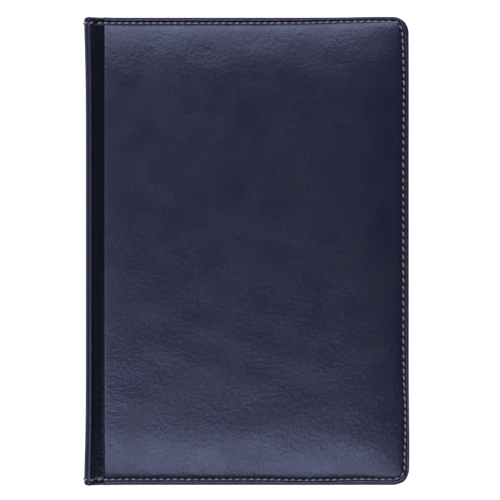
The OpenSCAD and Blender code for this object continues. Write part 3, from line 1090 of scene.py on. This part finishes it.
def spine_seats():
    seats = []
    sunk = 0.1 * MM - lift
    # On the turn of the shoulder the thread is drawn into the cloth
    drawn_in = 0.15 * MM
    y = float(bowed(left, line_y, right - left, stitch_in)[1])
    for sign in (1, -1):
        for z in np.linspace(shoulder_z - 0.9 * MM, top - shoulder_z + 0.9 * MM, 5):
            place = Vector((left - spine_out + sunk, sign * y, z))
            seats.append((place, Vector((0, 0, 1)), Vector((-1, 0, 0))))
        for turn in (1, -1):
            a = math.radians(135)
            out = Vector((math.cos(a), 0, turn * math.sin(a)))
            centre = Vector((shoulder_x - spine_out * 0.6, sign * y, mid_z + turn * (shoulder_z - mid_z)))
            seats.append((centre + out * (shoulder_r - drawn_in), Vector((out.z, 0, -out.x)) * sign, out))
    return seats


stitch_row("front_stitches", front_seats(), "front_cover", "front_stitching")
stitch_row("back_stitches", mirrored(front_seats()), "back_cover", "back_stitching", -0.16)
stitch_row("spine_stitches", spine_seats(), "spine", "spine_stitching")
print("stitches in all", 2 * len(front_seats()) + len(spine_seats()))


# %% [markdown]
# A section is a stack of folded sheets. Geometry Nodes stack thin leaves and shift each by a hair,
# as trimmed paper does, which draws the fine lines on the three cut edges.

# %% Sections of pages
def section_tree():
    made, given, out = nodes_tree("stacked_leaves", [
        ("Leaves", "NodeSocketInt", 14), ("Pitch", "NodeSocketFloat", 0.0001),
        ("Leaf Size", "NodeSocketVector", None), ("Shift", "NodeSocketFloat", 0.0001),
        ("Seed", "NodeSocketInt", 1), ("Centre", "NodeSocketVector", None),
        ("Material", "NodeSocketMaterial", None)])
    chance = node(made, "FunctionNodeRandomValue", data_type="FLOAT_VECTOR", Min=(-1, -1, 0),
                  Max=(0, 1, 0), Seed=given.outputs["Seed"])
    shift = node(made, "ShaderNodeVectorMath", operation="SCALE", Vector=chance.outputs["Value"],
                 Scale=given.outputs["Shift"])
    move = node(made, "GeometryNodeSetPosition", Offset=shift.outputs[0],
                Geometry=stack_of_points(made, given, "Leaves", "Centre"))
    leaf = node(made, "GeometryNodeMeshCube", Size=given.outputs["Leaf Size"])
    place = node(made, "GeometryNodeInstanceOnPoints", Points=move.outputs["Geometry"],
                 Instance=leaf.outputs["Mesh"])
    smooth = finish_tree(made, place.outputs["Instances"], given.outputs["Material"], out)
    smooth.inputs["Shade Smooth"].default_value = False
    where = node(made, "GeometryNodeInputPosition").outputs["Position"]
    kept = store(made, smooth.outputs["Geometry"], "flat_place", where, "FLOAT_VECTOR")
    paint = out.inputs["Geometry"].links[0].from_node
    put(made, kept, paint.inputs["Geometry"])
    return made


section_nodes = section_tree()
leaves_per_section = 14
page_shift = 0.12 * MM
leaf_share = 0.86


def body_with(node_name):
    return next(b for b, names in frame["record"]["behaviour"]["bodies"].items() if node_name in names)


for k in range(1, 11):
    low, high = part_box(f"section_{k:02d}")
    pitch = (high.z - low.z) / leaves_per_section
    leaf_t = pitch * leaf_share
    piece = make_piece(f"pages_{k:02d}", [low], [], page_finish)
    size = (high.x - low.x - page_shift, high.y - low.y - page_shift, leaf_t)
    centre = ((low.x + high.x) / 2, (low.y + high.y) / 2, low.z + leaf_t / 2)
    run_tree(piece, section_nodes, Leaves=leaves_per_section, Pitch=pitch, Leaf_Size=size,
             Shift=page_shift / 2, Seed=k, Centre=centre, Material=page_finish)
    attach(piece, body_with(f"section_{k:02d}"))
    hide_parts(f"section_{k:02d}")
print("pages", 2 * 10 * leaves_per_section)


# %% [markdown]
# Four single leaves lie beside the middle opening.

# %% Loose leaves
def thin_sheet(name, low, high, material, cols, rows=2):
    """A closed sheet with a front and a back, cut into strips so that it can bend."""
    gx, gy = np.meshgrid(np.linspace(low.x, high.x, cols), np.linspace(high.y, low.y, rows))
    tops = np.stack([gx, gy, np.full_like(gx, high.z)], axis=-1).reshape(-1, 3)
    lows = np.stack([gx, gy, np.full_like(gx, low.z)], axis=-1).reshape(-1, 3)
    points, faces = closed_slab(tops, lows, rows, cols)
    return make_piece(name, points, faces, material, smooth=False, flat_place=points)


sheet_air = Vector((0, 0, 0.02 * MM))
for side, pile in (("right", "section_06_slip"), ("left", "section_05_slip")):
    for k in (1, 2):
        low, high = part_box(f"leaf_{side}_{k}")
        piece = thin_sheet(f"loose_leaf_{side}_{k}", low + sheet_air, high - sheet_air, page_finish, 40)
        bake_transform(piece)
        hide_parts(f"leaf_{side}_{k}")
print("loose leaves", 4)


# %% [markdown]
# Headband, tailband, mull and kraft lining hold the folds together. Each is made in two halves that
# meet at the middle opening.

# %% Bands
band_cloth = new_material("band_cloth", (0.06, 0.08, 0.25), 0.55, Sheen_Weight=0.3)
band_tree = band_cloth.node_tree
band_plies = use_group(band_tree, twist, Along=stored_value(band_tree, "along"),
                       Around=stored_value(band_tree, "around"), Lay=0.0006)
feed(band_cloth, "Base Color", mix_colour(band_tree, stored_value(band_tree, "stripe"), (0.035, 0.045, 0.15),
                                          (0.62, 0.62, 0.66)))
bump(band_cloth, band_plies.outputs["Height"], 0.00006)
print("material", band_cloth.name)


# %% [markdown]
# A wrapped band is a stack of thread rings, a few of one colour and then a few of the other.

# %% Wrapped band tree
def band_tree_nodes():
    made, given, out = nodes_tree("wrapped_band", [
        ("Wraps", "NodeSocketInt", 16), ("Pitch", "NodeSocketFloat", 0.00045),
        ("Start", "NodeSocketVector", None), ("Core Radius", "NodeSocketFloat", 0.0006),
        ("Thread Radius", "NodeSocketFloat", 0.0002), ("Material", "NodeSocketMaterial", None)])
    ring = node(made, "GeometryNodeCurvePrimitiveCircle", Resolution=20,
                Radius=given.outputs["Core Radius"])
    rod = twisted_rod(made, ring.outputs["Curve"], given.outputs["Thread Radius"],
                      math_node(made, "MULTIPLY", given.outputs["Core Radius"], math.tau))
    index = node(made, "GeometryNodeInputIndex").outputs[0]
    which = math_node(made, "LESS_THAN", math_node(made, "MODULO", index, 6.0), 3.0)
    striped = store(made, stack_of_points(made, given, "Wraps", "Start"), "stripe", which, "FLOAT")
    place = node(made, "GeometryNodeInstanceOnPoints", Points=striped, Instance=rod)
    finish_tree(made, place.outputs["Instances"], given.outputs["Material"], out)
    return made


band_nodes = band_tree_nodes()
print("tree", band_nodes.name)


# %% [markdown]
# The halves are cut at the middle of the book.

# %% Headband and tailband
def half_of(node_name, upper):
    low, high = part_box(node_name)
    return (Vector((low.x, low.y, mid_z)), high) if upper else (low, Vector((high.x, high.y, mid_z)))


def arch(piece, node_name):
    """Keeps a half as a plain mesh in place and hides its solid part."""
    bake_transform(piece)
    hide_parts(node_name)


core_r = 0.55 * MM
wrap_r = 0.19 * MM
wraps = 18
band_in = 0.75 * MM
band_air = 0.03 * MM
for node_name, end in (("headband", 1), ("tailband", -1)):
    for upper in (False, True):
        low, high = half_of(node_name, upper)
        pitch = (high.z - low.z) / wraps
        band_y = end * (pages_high.y + core_r + wrap_r + band_air)
        centre = (pages_low.x + band_in, band_y, low.z + pitch / 2)
        piece = make_piece(f"{node_name}_{'front' if upper else 'back'}", [centre], [], band_cloth)
        run_tree(piece, band_nodes, Wraps=wraps, Pitch=pitch, Start=centre, Core_Radius=core_r,
                 Thread_Radius=wrap_r, Material=band_cloth)
        arch(piece, node_name)
print("bands", 4)

# %% [markdown]
# Mull is the open gauze that is glued over the folds, and kraft paper lines it. Both are thin closed
# sheets that stand upright against the folds.

# %% Mull and lining
def upright_sheet(name, low, high, material, steps=24):
    zs = np.linspace(low.z, high.z, steps)
    rows = []
    for x in (low.x, high.x):
        for z in zs:
            rows += [(x, low.y, z), (x, high.y, z)]
    count = 2 * steps
    faces = []
    for k in range(steps - 1):
        a = 2 * k
        faces.append([a, a + 2, a + 3, a + 1])
        faces.append([count + a, count + a + 1, count + a + 3, count + a + 2])
        faces.append([a, count + a, count + a + 2, a + 2])
        faces.append([a + 1, a + 3, count + a + 3, count + a + 1])
    faces.append([0, 1, count + 1, count])
    end = 2 * (steps - 1)
    faces.append([end, count + end, count + end + 1, end + 1])
    return make_piece(name, rows, faces, material, smooth=False, flat_place=rows)


for node_name, finish, slot_name in (("mull", mull_finish, "mull_gauze"),
                                     ("spine_lining", kraft_finish, "kraft_paper")):
    for upper in (False, True):
        low, high = half_of(node_name, upper)
        piece = upright_sheet(f"{node_name}_{'front' if upper else 'back'}", low, high, finish)
        arch(piece, node_name)
print("mull and lining", 4)

# %% [markdown]
# Parts whose solid shape is already right keep it and only get their finish: boards, spine card,
# endpapers and the sewing in the folds.

# %% Finishes of the kept parts
KEPT = {"front_board": board_finish, "back_board": board_finish, "spine_card": board_finish,
        "front_endpaper": endpaper_finish, "back_endpaper": endpaper_finish}
KEPT.update({f"thread_{k:02d}": sewing_finish for k in range(1, 11)})
for name, finish in KEPT.items():
    solid = frame["nodes"][name]
    for place in solid.material_slots:
        place.material = finish
print("kept parts", len(KEPT))

# %% [markdown]
# Last, the outer box of the finished model is printed.

# %% Size and finish
low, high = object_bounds()
print("visual box", [round(v / MM, 2) for v in (*low, *high)])
